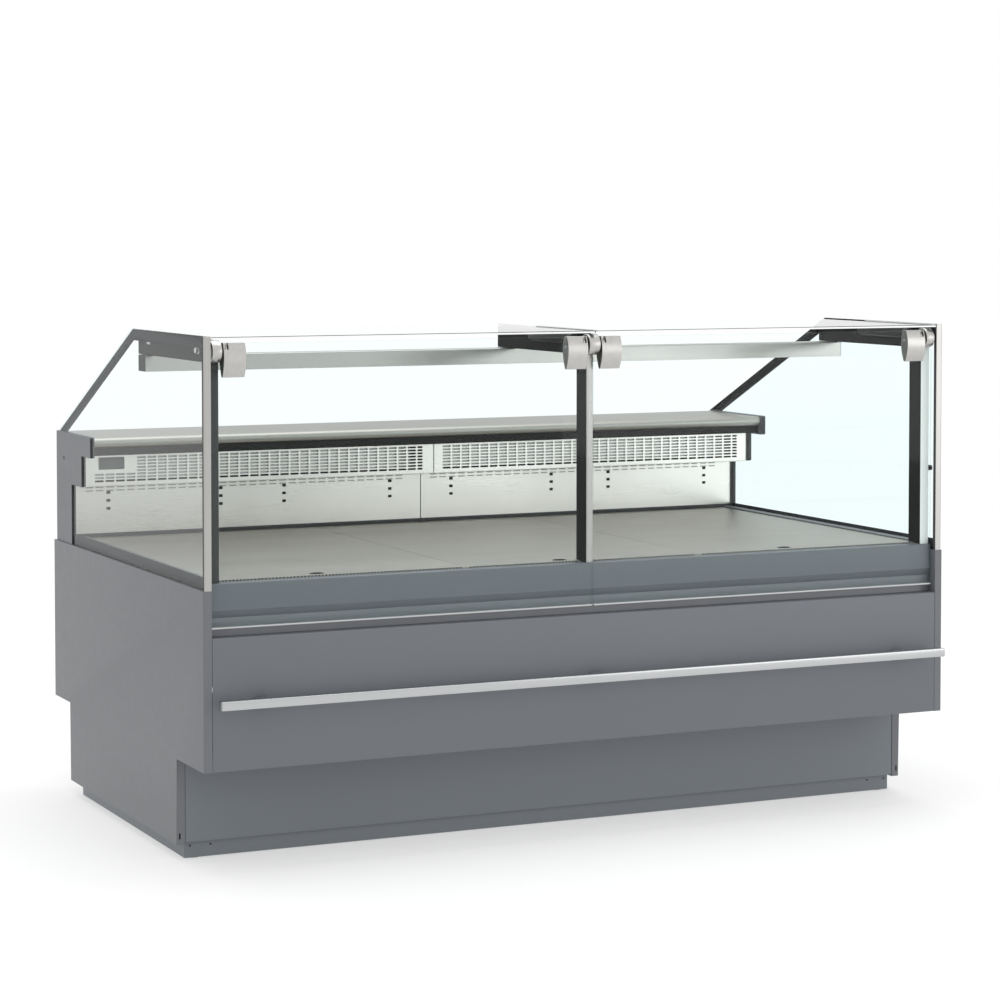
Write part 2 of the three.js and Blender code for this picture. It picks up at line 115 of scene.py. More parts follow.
def block(bm, x, d, z):
    prism(bm, rect(x, d), "z", z)


def bar(bm, axis, a, b, span, radii, steps=3, index=0):
    """Prism along axis whose section is a rectangle with rounded corners over the spans a and b."""
    prism(bm, rounded(rect(a, b), radii, steps), axis, span, index)


def hoop(bm, loops):
    """Closed ring through loops, each an outline and its height, with the last joined to the first."""
    rings = [[bm.verts.new(at(*p, height)) for p in outline] for outline, height in loops]
    count = len(rings[0])
    for near, far in zip(rings, rings[1:] + rings[:1]):
        for i in range(count):
            j = (i + 1) % count
            bm.faces.new((near[i], near[j], far[j], far[i]))


def lathe(bm, profile, axis, centre, segments=32, index=0):
    """Body of revolution: profile holds (radius, place along axis) in mm, from the axis back to the axis."""
    a, b = PLANES[axis]
    rings = []
    for radius, along in profile:
        ring = []
        turns = segments if radius > 1e-6 else 1
        for i in range(turns):
            turn = 2 * math.pi * i / segments
            pair = (centre[a] + radius * math.cos(turn), centre[b] + radius * math.sin(turn))
            ring.append(bm.verts.new(placed(axis, pair, centre[AXES.index(axis)] + along)))
        rings.append(ring)
    for one, two in zip(rings, rings[1:]):
        for i in range(segments):
            j = (i + 1) % segments
            corners = [one[i % len(one)], one[j % len(one)], two[j % len(two)], two[i % len(two)]]
            corners = [v for k, v in enumerate(corners) if v not in corners[:k]]
            if len(corners) > 2:
                bm.faces.new(corners).material_index = index


def rounded(points, radii, steps=4):
    """The outline with its corners rounded. radii is one radius or one for each corner."""
    count = len(points)
    if not isinstance(radii, (list, tuple)):
        radii = [radii] * count
    result = []
    for i, corner in enumerate(points):
        here = Vector(corner)
        back = Vector(points[i - 1]) - here
        ahead = Vector(points[(i + 1) % count]) - here
        if radii[i] <= 0:
            result.append(tuple(here))
            continue
        half = back.angle(ahead) / 2
        reach = min(radii[i] / math.tan(half), 0.49 * back.length, 0.49 * ahead.length)
        radius = reach * math.tan(half)
        centre = here + (back.normalized() + ahead.normalized()).normalized() * (radius / math.sin(half))
        start = here + back.normalized() * reach - centre
        end = here + ahead.normalized() * reach - centre
        sweep = start.angle_signed(end)
        for k in range(steps + 1):
            turn = -sweep * k / steps
            result.append((centre.x + start.x * math.cos(turn) - start.y * math.sin(turn),
                           centre.y + start.x * math.sin(turn) + start.y * math.cos(turn)))
    return result


def folded(path, thickness, radius, steps=4):
    """Outline of a bent sheet: path is its outer face, and the sheet lies to the left of the path."""
    inner = []
    count = len(path)
    for i, corner in enumerate(path):
        here = Vector(corner)
        normals = []
        for a, b in ((i - 1, i), (i, i + 1)):
            if 0 <= a and b < count:
                along = (Vector(path[b]) - Vector(path[a])).normalized()
                normals.append(Vector((-along.y, along.x)))
        mean = sum(normals, Vector((0, 0))).normalized()
        inner.append(here + mean * (thickness / max(mean.dot(normals[0]), 0.2)))
    bends = range(1, count - 1)
    turns = {}
    for i in bends:
        along = Vector(path[i]) - Vector(path[i - 1])
        onward = Vector(path[i + 1]) - Vector(path[i])
        turns[i] = along.x * onward.y - along.y * onward.x > 0
    outer_radii = [0] + [radius if turns[i] else radius - thickness for i in bends] + [0]
    inner_radii = [0] + [radius - thickness if turns[i] else radius for i in bends] + [0]
    return rounded([tuple(p) for p in path] + [tuple(p) for p in inner[::-1]],
                   outer_radii + inner_radii[::-1], steps)


def slot_outline(centre, width, height, radius=None, steps=3):
    """Rounded rectangle as four corner arcs, anticlockwise from the lowest left one."""
    r = min(width, height) / 2 * 0.98 if radius is None else radius
    x, y = width / 2 - r, height / 2 - r
    arcs = []
    for k, (sx, sy) in enumerate(((-1, -1), (1, -1), (1, 1), (-1, 1))):
        start = math.pi * (1 + k / 2)
        arcs.append([(centre[0] + sx * x + r * math.cos(start + math.pi / 2 * i / steps),
                      centre[1] + sy * y + r * math.sin(start + math.pi / 2 * i / steps))
                     for i in range(steps + 1)])
    return arcs


def slot_loop(centre, width, height):
    return [p for arc in slot_outline(centre, width, height, steps=2) for p in arc]


def pierced(bm, axis, columns, rows, hole, along, thickness):
    """Flat sheet across axis. hole() gives None or a cell's hole as four corner arcs."""
    corners, faces = {}, []

    def corner(i, j):
        if (i, j) not in corners:
            corners[i, j] = bm.verts.new(placed(axis, (columns[i], rows[j]), along))
        return corners[i, j]

    for i in range(len(columns) - 1):
        for j in range(len(rows) - 1):
            ring = [corner(i, j), corner(i + 1, j), corner(i + 1, j + 1), corner(i, j + 1)]
            arcs = hole(i, j)
            if arcs is None:
                faces.append(bm.faces.new(ring))
                continue
            arcs = [[bm.verts.new(placed(axis, p, along)) for p in arc] for arc in arcs]
            middle = len(arcs[0]) // 2
            for k in range(4):
                after = arcs[(k + 1) % 4]
                faces.append(bm.faces.new([ring[k], ring[(k + 1) % 4]] + after[middle::-1]
                                          + arcs[k][:middle - 1:-1]))
    made = bmesh.ops.extrude_face_region(bm, geom=faces, use_keep_orig=True)
    shift = placed(axis, (0, 0), thickness) - placed(axis, (0, 0), 0)
    bmesh.ops.translate(bm, vec=shift, verts=[g for g in made["geom"] if isinstance(g, bmesh.types.BMVert)])


def round_edges(bm, offset, chosen, segments=4):
    """Rounds the edges whose two end points, in mm in the counter's own places, satisfy chosen()."""
    def local(v):
        return Vector((v.co.x / MM, (v.co.y - FRONT) / MM, v.co.z / MM))

    edges = [e for e in bm.edges if chosen(local(e.verts[0]), local(e.verts[1]))]
    bmesh.ops.bevel(bm, geom=edges, offset=offset * MM, segments=segments, profile=0.5, affect="EDGES",
                    clamp_overlap=True)


def mark(bm, chosen):
    """Gives the faces that satisfy chosen() the piece's second material."""
    bm.normal_update()
    for face in bm.faces:
        if chosen(face):
            face.material_index = 1


def piece(name, bm, materials, body=ROOT, replaces=(), bevel=0.0, segments=2):
    """Turns the mesh into a shown piece that rides on a CAD body."""
    bmesh.ops.remove_doubles(bm, verts=bm.verts, dist=1e-7)
    bmesh.ops.recalc_face_normals(bm, faces=bm.faces)
    for face in bm.faces:
        face.smooth = True
    for edge in bm.edges:
        if len(edge.link_faces) == 2 and edge.calc_face_angle(0) > math.radians(32):
            edge.smooth = False
    mesh = bpy.data.meshes.new(name)
    bm.to_mesh(mesh)
    bm.free()
    for one in materials if isinstance(materials, (list, tuple)) else [materials]:
        mesh.materials.append(one)
    obj = bpy.data.objects.new(name, mesh)
    bpy.context.scene.collection.objects.link(obj)
    if bevel:
        modifier = obj.modifiers.new("edges", "BEVEL")
        modifier.width = bevel * MM
        modifier.segments = segments
        modifier.limit_method = "ANGLE"
        modifier.angle_limit = math.radians(32)
        modifier.harden_normals = True
    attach(obj, body)
    if replaces:
        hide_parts(*replaces)
    return obj


def subtract(bm, cutter):
    """The first mesh less the second, both closed."""
    objects = []
    for source in (bm, cutter):
        bmesh.ops.recalc_face_normals(source, faces=source.faces)
        mesh = bpy.data.meshes.new("boolean")
        source.to_mesh(mesh)
        source.free()
        objects.append(bpy.data.objects.new("boolean", mesh))
        bpy.context.scene.collection.objects.link(objects[-1])
    target, tool = objects
    modifier = target.modifiers.new("cut", "BOOLEAN")
    modifier.operation, modifier.solver, modifier.object = "DIFFERENCE", "EXACT", tool
    graph = bpy.context.evaluated_depsgraph_get()
    mesh = bpy.data.meshes.new_from_object(target.evaluated_get(graph))
    result = bmesh.new()
    result.from_mesh(mesh)
    for old in objects:
        data = old.data
        bpy.data.objects.remove(old)
        bpy.data.meshes.remove(data)
    bpy.data.meshes.remove(mesh)
    return result


def screw_head(bm, axis, centre, radius, proud, direction=1):
    """Domed screw head with a round socket, standing out along axis."""
    steps = ((0, 0.35), (0.42, 0.35), (0.46, 0.98), (0.7, 0.9), (0.95, 0.5), (1, 0))
    profile = [(radius * r, proud * h * direction) for r, h in steps] + [(0, -0.5 * direction)]
    lathe(bm, profile, axis, centre, 18)


# ---- materials ----
class Look:
    """A procedural material: object-space coordinates in metres feed its noises."""

    def __init__(self, name, color, roughness, metallic=0.0):
        self.material = bpy.data.materials.new(name)
        self.material.use_nodes = True
        self.tree = self.material.node_tree
        self.shader = self.tree.nodes["Principled BSDF"]
        self.shader.inputs["Metallic"].default_value = metallic
        self.shader.inputs["Base Color"].default_value = (*color, 1)
        self.shader.inputs["Roughness"].default_value = roughness
        self.place = self.tree.nodes.new("ShaderNodeTexCoord").outputs["Object"]
        self.height = None

    def node(self, kind, **values):
        made = self.tree.nodes.new(kind)
        for key, value in values.items():
            if key in made.inputs:
                made.inputs[key].default_value = value
            else:
                setattr(made, key, value)
        return made

    def link(self, out, into):
        self.tree.links.new(out, into)

    def noise(self, scale, detail=3.0, stretch=(1, 1, 1), roughness=0.5):
        mapping = self.node("ShaderNodeMapping", Scale=stretch)
        self.link(self.place, mapping.inputs["Vector"])
        made = self.node("ShaderNodeTexNoise", Scale=scale, Detail=detail, Roughness=roughness)
        self.link(mapping.outputs["Vector"], made.inputs["Vector"])
        return made.outputs["Fac"]

    def ranged(self, value, low, high, start=0.3, end=0.7):
        """value's stretch from start to end, spread over low to high."""
        made = self.node("ShaderNodeMapRange", **{"From Min": start, "From Max": end, "To Min": low,
                                                  "To Max": high})
        self.link(value, made.inputs["Value"])
        return made.outputs["Result"]

    def tint(self, value, color, low, high):
        """Base colour from color * low to color * high, by value."""
        made = self.node("ShaderNodeMix", data_type="RGBA")
        sockets = [s for s in made.inputs if s.type == "RGBA"]
        for socket, factor in zip(sockets, (low, high)):
            socket.default_value = (*shade(color, factor), 1)
        self.link(value, made.inputs[0])
        result = [s for s in made.outputs if s.type == "RGBA"][0]
        self.link(result, self.shader.inputs["Base Color"])

    def sheen(self, value, low, high, start=0.3, end=0.7):
        """Roughness from low to high, by value's stretch from start to end."""
        self.link(self.ranged(value, low, high, start, end), self.shader.inputs["Roughness"])

    def maths(self, operation, *values):
        """The result of a sum of two values, each a socket or a plain number."""
        made = self.node("ShaderNodeMath", operation=operation)
        for value, socket in zip(values, made.inputs):
            if isinstance(value, float):
                socket.default_value = value
            else:
                self.link(value, socket)
        return made.outputs[0]

    def bump(self, value, strength, distance):
        made = self.node("ShaderNodeBump", Strength=strength, Distance=distance)
        self.link(value, made.inputs["Height"])
        if self.height is not None:
            self.link(self.height, made.inputs["Normal"])
        self.height = made.outputs["Normal"]
        self.link(self.height, self.shader.inputs["Normal"])


def shade(color, factor):
    return tuple(min(1.0, c * factor) for c in color)


def paint(name, color, gloss=0.42, grain=850, peel=0.03, specular=0.5):
    """Satin powder coat: faint cloudiness, orange peel and uneven sheen."""
    look = Look(name, color, gloss)
    look.tint(look.ranged(look.noise(2.2, 4.0), 0, 1), color, 0.99, 1.01)
    look.sheen(look.noise(38, 4.0), gloss - 0.02, gloss + 0.02)
    look.bump(look.noise(grain, 2.0), peel, 0.0003)
    look.shader.inputs["Specular IOR Level"].default_value = specular
    return look.material


def brushed(name, color, along, roughness=0.3, depth=0.02, edge=1.0):
    """Fine brushed metal, its grain running along one axis. edge is its reflectance at a grazing angle."""
    look = Look(name, color, roughness, 1.0)

    def across(much):
        return tuple(1.0 if axis == along else much for axis in AXES)

    fine = look.noise(2.4, 5.0, across(420.0), 0.62)
    broad = look.noise(1.3, 3.0, across(9.0))
    smear = look.noise(7.0, 4.0)
    look.tint(look.ranged(fine, 0, 1, 0.25, 0.75), color, 0.985, 1.015)
    spread = look.maths("ADD", look.ranged(broad, -0.03, 0.03), look.ranged(smear, -0.025, 0.025))
    total = look.maths("ADD", look.ranged(fine, roughness - 0.03, roughness + 0.03), spread)
    look.link(total, look.shader.inputs["Roughness"])
    look.bump(fine, depth, 0.0001)
    look.shader.inputs["Specular Tint"].default_value = (edge, edge, edge, 1)
    return look.material


def satin_metal(name, color, roughness, grain=1400):
    """Machined or blasted metal with a fine even grain."""
    look = Look(name, color, roughness, 1.0)
    look.tint(look.ranged(look.noise(60, 4.0), 0, 1), color, 0.95, 1.04)
    look.sheen(look.noise(grain, 2.0), roughness - 0.05, roughness + 0.05)
    look.bump(look.noise(grain, 2.0), 0.06, 0.0003)
    return look.material


def moulded(name, color, roughness, grain=1900, depth=0.12):
    """Moulded plastic with a fine spark grain."""
    look = Look(name, color, roughness)
    look.tint(look.ranged(look.noise(5, 3.0), 0, 1), color, 0.9, 1.1)
    look.sheen(look.noise(120, 3.0), roughness - 0.05, roughness + 0.06)
    look.bump(look.noise(grain, 2.0), depth, 0.0004)
    return look.material


def spangled(name, color):
    """Galvanised sheet with its crystal pattern."""
    look = Look(name, color, 0.5, 0.85)
    cells = look.node("ShaderNodeTexVoronoi", Scale=75.0)
    look.link(look.place, cells.inputs["Vector"])
    value = look.node("ShaderNodeSeparateColor")
    look.link(cells.outputs["Color"], value.inputs[0])
    look.tint(value.outputs[0], color, 0.84, 1.1)
    look.sheen(value.outputs[1], 0.4, 0.6, 0, 1)
    look.bump(look.noise(260, 3.0), 0.05, 0.0004)
    return look.material


def clear_glass(name, tint, sheen=1.5):
    """Thin clear pane: light passes straight through, and the surface mirrors by its angle."""
    look = Look(name, tint, 0.0)
    look.tree.nodes.remove(look.shader)
    out = look.tree.nodes["Material Output"]
    through = look.node("ShaderNodeBsdfTransparent", Color=(*tint, 1))
    mirror = look.node("ShaderNodeBsdfGlossy", Color=(1, 1, 1, 1))
    look.link(look.ranged(look.noise(14, 3.0), 0.0, 0.03), mirror.inputs["Roughness"])
    fresnel = look.node("ShaderNodeFresnel", IOR=sheen)
    facing = look.node("ShaderNodeNewGeometry")
    outside = look.maths("SUBTRACT", 1.0, facing.outputs["Backfacing"])
    share = look.maths("MULTIPLY", fresnel.outputs[0], outside)
    mix = look.node("ShaderNodeMixShader")
    for value, socket in zip((share, through.outputs[0], mirror.outputs[0]), mix.inputs):
        look.link(value, socket)
    look.link(mix.outputs[0], out.inputs["Surface"])
    return look.material


GREY = (0.123, 0.134, 0.149)
END_GREY = (0.129, 0.1355, 0.146)
STEEL = (0.68, 0.645, 0.61)

paint_grey = paint("paint_grey", GREY)
paint_end = paint("paint_end", END_GREY, 0.46)
paint_capping = paint("paint_capping", (0.116, 0.122, 0.136))
# a lighter copy of the capping paint: painted light on the shaded recess face under the fascia's overhang
recess_painted_light = paint("recess_painted_light", (0.172, 0.18, 0.196))
# near-black coat: painted shade on the cheeks' front edges
cheek_edge_shade_coat = paint("cheek_edge_shade_coat", (0.035, 0.036, 0.038), 0.5, specular=0.2)
seal_white = paint("seal_white", (0.86, 0.87, 0.87), 0.4)
# the front grey made lighter: painted light on the plinth, which stands in the shade of the body above
plinth_painted_light = paint("plinth_painted_light", (0.139, 0.155, 0.172))
steel_x = brushed("steel_x", STEEL, "x")
steel_post = brushed("steel_post", (0.37, 0.335, 0.325), "z")
steel_channel = brushed("steel_channel", (0.40, 0.385, 0.365), "x", 0.34)
steel_deck = brushed("steel_deck", (0.455, 0.435, 0.40), "x", 0.42, edge=0.75)
steel_worktop = brushed("steel_worktop", (0.47, 0.455, 0.43), "x", 0.42, edge=0.62)
# a darker copy of the worktop steel: painted shade on the worktop's rounded front
worktop_nose_painted_shade = brushed("worktop_nose_painted_shade", (0.36, 0.35, 0.325), "x", 0.42, edge=0.62)
steel_bright = brushed("steel_bright", (0.49, 0.495, 0.5), "x", 0.3)
steel_rail = brushed("steel_rail", (0.48, 0.49, 0.495), "x", 0.2)
steel_profile = brushed("steel_profile", (0.43, 0.425, 0.41), "z")
# a darker copy of the back panel's steel: painted shade on the embossed slots
emboss_painted_shade = brushed("emboss_painted_shade", (0.30, 0.29, 0.275), "x", 0.36)
# dark satin metal: the cheek screws' own colour, and on the clamp and knuckle end faces a painted reflection
# of the dark arms
dark_alloy_and_painted_reflection = satin_metal("dark_alloy_and_painted_reflection", (0.2, 0.2, 0.19), 0.5)
alloy = satin_metal("alloy", (0.49, 0.48, 0.46), 0.38)
screw_metal = satin_metal("screw_metal", (0.45, 0.45, 0.44), 0.3)
fin_metal = satin_metal("fin_metal", (0.6, 0.61, 0.62), 0.4)
black_coat = paint("black_coat", (0.013, 0.013, 0.0125), 0.5, specular=0.05)
band_coat = paint("band_coat", (0.012, 0.012, 0.0115), 0.5, specular=0.2)
tube_coat = paint("tube_coat", (0.022, 0.022, 0.021), 0.4, specular=0.2)
post_coat = paint("post_coat", (0.05, 0.051, 0.05), 0.5, specular=0.2)
# near-white paint on the right post's steel front plate: a painted reflection of the bright surroundings
post_painted_reflection = paint("post_painted_reflection", (0.87, 0.865, 0.845), 0.5)
# black moulded plastic of real parts, and also the black sheets and discs that stand in for shade in slots,
# holes and the duct
black_plastic = moulded("black_plastic", (0.02, 0.02, 0.02), 0.45)
# dark rubber of the real gaskets, and also the dark strip painted as shade under the back panels
gasket_and_shade = moulded("gasket_and_shade", (0.03, 0.031, 0.033), 0.6)
button_grey = moulded("button_grey", (0.2, 0.2, 0.2), 0.4)
display_frame = moulded("display_frame", (0.09, 0.09, 0.088), 0.4)
dark_window = moulded("dark_window", (0.10, 0.10, 0.10), 0.22, 600, 0.02)
frit = paint("frit", (0.045, 0.048, 0.051), 0.5, 400, 0.02, 0.0)
frit_line = paint("frit_line", (0.018, 0.02, 0.022), 0.5, 400, 0.02, 0.0)
white_liner = moulded("white_liner", (0.72, 0.73, 0.71), 0.45)
galvanised = spangled("galvanised", (0.5, 0.51, 0.52))
duct_grey = satin_metal("duct_grey", (0.40, 0.395, 0.385), 0.5)
lamp_white = moulded("lamp_white", (0.8, 0.8, 0.78), 0.35, 700, 0.03)
glass_pane = clear_glass("glass_pane", (0.972, 1.0, 1.0), 1.22)
glass_top = clear_glass("glass_top", (0.974, 1.0, 1.0), 1.5)
glass_edge = clear_glass("glass_edge", (0.86, 0.93, 0.92), 1.3)
glass_rim = clear_glass("glass_rim", (0.93, 0.97, 0.96), 1.3)


def keep(material, *nodes):
    """A CAD node whose shape is right stays, with a better material."""
    for node in nodes:
        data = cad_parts[node].data
        data.materials.clear()
        data.materials.append(material)


keep(galvanised, "base_frame", "fan_plate")
keep(fin_metal, "evaporator_coil", "condenser_coil")
keep(black_plastic, "evaporator_fan_left", "evaporator_fan_right", "condenser_fan")
keep(black_coat, "compressor")
keep(white_liner, "insulated_tub")
keep(steel_x, "deck_frame")


# ---- body panels ----
PLINTH_D, PLINTH_TOP = (201, 1090), 246


def end_panel(name, side):
    node = f"end_panel_{name}"
    x, d, z = extents(node)
    outline = [(d[0], z[1]), (d[0], PLINTH_TOP), (PLINTH_D[0], PLINTH_TOP), (PLINTH_D[0], z[0]),
               (PLINTH_D[1], z[0]), (PLINTH_D[1], PLINTH_TOP), (d[1], PLINTH_TOP), (d[1], z[1])]
    inner, outer = x[::side]

    def on_outer_corner(a, b):
        upright = abs(a.x - outer) < 0.1 and abs(b.x - outer) < 0.1 and abs(a.y - b.y) < 0.1
        return upright and min(abs(a.y - edge) for edge in (*d, *PLINTH_D)) < 0.1

    bm = bmesh.new()
    prism(bm, outline, "x", x)
    round_edges(bm, 2.5, on_outer_corner, 5)
    hole = bmesh.new()
    hole_x = (x[0] + x[1]) / 2 + side * 3
    block(hole, around(hole_x, 2.2), (PLINTH_D[0] - 1, PLINTH_D[0] + 9), (52, 66))
    piece(f"end_skin_{name}", subtract(bm, hole), paint_end, replaces=[node], bevel=1.0)
    # black block at the back of the slot: painted shade inside it
    bm = bmesh.new()
    block(bm, around(hole_x, 2.1), (PLINTH_D[0] + 6, PLINTH_D[0] + 8.9), (52.1, 65.9))
    piece(f"end_slot_shade_{name}", bm, black_plastic)
    bm = bmesh.new()
    seat = sorted((inner + side * 7.6, inner + side * 12.4))
    bar(bm, "y", seat, (z[1] - 0.4, z[1] + 1.6), (13, 1078), 0.5, 2)
    piece(f"glass_seat_gasket_{name}", bm, gasket_and_shade)


for end_name, end_side in SIDES:
    end_panel(end_name, end_side)

def front_sheets():
    x, _, z = extents("front_panel")
    bm = bmesh.new()
    prism(bm, folded([(16, z[1]), (0, z[1]), (0, z[0]), (16, z[0])], 1.5, 3), "x", trimmed(x, 0.9))
    piece("front_panel_skin", bm, paint_grey, replaces=["front_panel"], bevel=0.4)

    x = extents("front_capping")[0]
    ledge, foot, undercut = 685, 560, (621.5, 603)
    path = [(56, ledge), (22, ledge), (22, undercut[0]), (34, undercut[1]), (34, foot), (18, foot)]
    bm = bmesh.new()
    prism(bm, folded(path, 2, 3.2), "x", trimmed(x, 0.4))
    # the recess face below the undercut takes the lighter paint: painted light against the overhang's shade
    mark(bm, lambda face: abs(face.normal.y) > 0.9 and face.calc_center_median().z < undercut[1] * MM)
    piece("front_capping_skin", bm, [paint_capping, recess_painted_light], replaces=["front_capping"],
          bevel=0.4)


front_sheets()


def bumper():
    x, d, z = extents("bumper_rail")
    tube, cap = (d[0], d[0] + 22), 1.5
    bm = bmesh.new()
    bar(bm, "x", tube, z, trimmed(x, 1.6), 2.2, 4)
    for span in ((x[0], x[0] + cap), (x[1] - cap, x[1])):
        bar(bm, "x", trimmed(tube, 0.75), trimmed(z, 0.75), span, 2.6, 4)
    piece("bumper_tube", bm, steel_rail, replaces=["bumper_rail"], bevel=0.5)
    bm = bmesh.new()
    for place in (-880, 0, 880):
        bar(bm, "y", around(place, 15), trimmed(z, 3), (tube[1] - 0.2, -2.2), 2)
        bar(bm, "y", around(place, 15), (z[0] - 7, z[1] - 8), (-2.5, -0.1), 3, 4)
    piece("bumper_brackets", bm, paint_grey, bevel=0.5)


bumper()


def base():
    x, d, z = extents("kick_skirt")
    d = (d[0], d[1] + 16)
    wall = 2.0
    outer = rounded(rect(x, d), 4, 5)
    inner = rounded(rect(trimmed(x, wall), trimmed(d, wall)), 2.4, 5)
    bm = bmesh.new()
    hoop(bm, ((outer, z[0]), (outer, z[1]), (inner, z[1]), (inner, z[0])))
    # the kick skirt and plinth front take the lightened grey: painted light
    piece("kick_skirt_skin", bm, plinth_painted_light, replaces=["kick_skirt"], bevel=0.4)
    # flat black discs on the skirt's face, drawn as holes: painted shade
    bm = bmesh.new()
    for screw_x in (-982, -930, 930, 982):
        lathe(bm, [(0, -0.15), (2.9, -0.15), (3.1, 0.1), (3.1, 1.0), (0, 1.0)], "y", (screw_x, d[0], 31), 16)
    piece("kick_skirt_hole_shade", bm, black_plastic)

    x, d, z = extents("plinth_panel_front")
    left, right = trimmed(x, 0.6)
    path = [(left, d[0] + 14), (left, d[0]), (right, d[0]), (right, d[0] + 14)]
    bm = bmesh.new()
    prism(bm, folded(path, 1.5, 2.5), "z", (z[0], z[1] - 0.5))
    piece("plinth_skin_front", bm, plinth_painted_light, replaces=["plinth_panel_front"], bevel=0.4)

    x, d, z = extents("plinth_grille_rear")
    slots, low, high = 24, 95, 215
    columns = [x[0]] + [-360 + 30 * i for i in range(slots + 1)] + [x[1]]
    rows = [z[0], low - 5, high + 5, z[1]]

    def vent(i, j):
        if j != 1 or not 1 <= i <= slots:
            return None
        return slot_outline(((columns[i] + columns[i + 1]) / 2, (low + high) / 2), 10, high - low)

    bm = bmesh.new()
    pierced(bm, "y", columns, rows, vent, d[1], -1.6)
    piece("plinth_vent_rear", bm, paint_grey, replaces=["plinth_grille_rear"], bevel=0.3)

    for place in ("front_left", "rear_left", "front_right", "rear_right"):
        node = f"foot_{place}"
        x, d, z = extents(node)
        centre = ((x[0] + x[1]) / 2, (d[0] + d[1]) / 2, 0)
        bm = bmesh.new()
        pad = [(0, 0), (24, 0), (25, 1), (25, 4), (23.5, 5.5), (14, 8), (12, 11), (11.5, 13), (0, 13)]
        lathe(bm, pad, "z", centre, 40)
        lathe(bm, [(0, 12.5), (9.3, 12.5), (10, 13.2), (10, 19.3), (9.3, 20), (0, 20)], "z", centre, 6, 1)
        thread = [(0, 19)]
        for turn in range(22):
            thread += [(7.9, 20.5 + turn * 3), (7.1, 22 + turn * 3)]
        lathe(bm, thread + [(0, thread[-1][1])], "z", centre, 20, 1)
        piece(f"levelling_{node}", bm, [black_plastic, screw_metal], replaces=[node])


base()


# ---- deck ----
def deck():
    hole_pitch, tooth_pitch = 18, 9
    for place in ("left", "centre", "right"):
        node = f"deck_plate_{place}"
        x, d, z = extents(node)
        outline = rect(x, d)
        if place == "centre":
            outline[1:1] = [(-12, d[0]), (-12, 91), (12, 91), (12, d[0])]
        bm = bmesh.new()
        prism(bm, outline, "z", z)
        holes = bmesh.new()
        through = (z[0] - 1, z[1] + 1)
        finger = ((x[0] + x[1]) / 2 - 55, d[0] + 33)
        prism(holes, oval(finger, 17, 12), "z", through)
        count = int((x[1] - x[0] - 24) / hole_pitch)
        start = (x[0] + x[1]) / 2 - (count - 1) * hole_pitch / 2
        for k in range(count):
            middle = start + k * hole_pitch
            if place != "centre" or abs(middle) >= 22:
                prism(holes, slot_loop((middle, d[0] + 7.5), 12, 5), "z", through)
        body = f"deck_plate_{place}_body"
        piece(f"deck_sheet_{place}", subtract(bm, holes), steel_deck, body=body, replaces=[node],
              bevel=0.6)
        bm = bmesh.new()
        outer, inner = oval(finger, 19, 14), oval(finger, 16.6, 11.6)
        hoop(bm, ((outer, z[1] - 0.2), (outer, z[1] + 0.5), (inner, z[1] + 0.9), (inner, z[0] - 3)))
        piece(f"finger_rim_{place}", bm, black_plastic, body=body)
        bm = bmesh.new()
        for k in range(int((x[1] - x[0] - 12) / tooth_pitch)):
            middle = x[0] + 10 + k * tooth_pitch
            if place != "centre" or abs(middle) >= 18:
                prism(bm, rect(around(middle, 2.6), (z[0] + 0.3, z[1] + 0.1)), "y", (d[0] - 0.3, d[0] + 2.5))
        piece(f"deck_teeth_{place}", bm, gasket_and_shade, body=body)
    bm = bmesh.new()
    for _, side in SIDES:
        bar(bm, "y", mirrored(side, 973.2, 998.6), (683.2, 692), (88, 1078), 1.6)
    piece("deck_side_rails", bm, paint_end, bevel=0.3)


deck()


# ---- back wall, air grilles and worktop ----
# the stepped front edge of the cheeks, which the side glasses follow: worktop, air grille and back wall
CHEEK_STEPS = [(908, 968), (908, 914), (988, 914), (988, 832), (1080, 832)]
SLOT_PITCH, SLOT_START, SLOT_COLUMNS = 29.0, 24.0, 32
ROW_START, ROW_PITCH, ROW_COUNT = 845.3, 8.61, 8


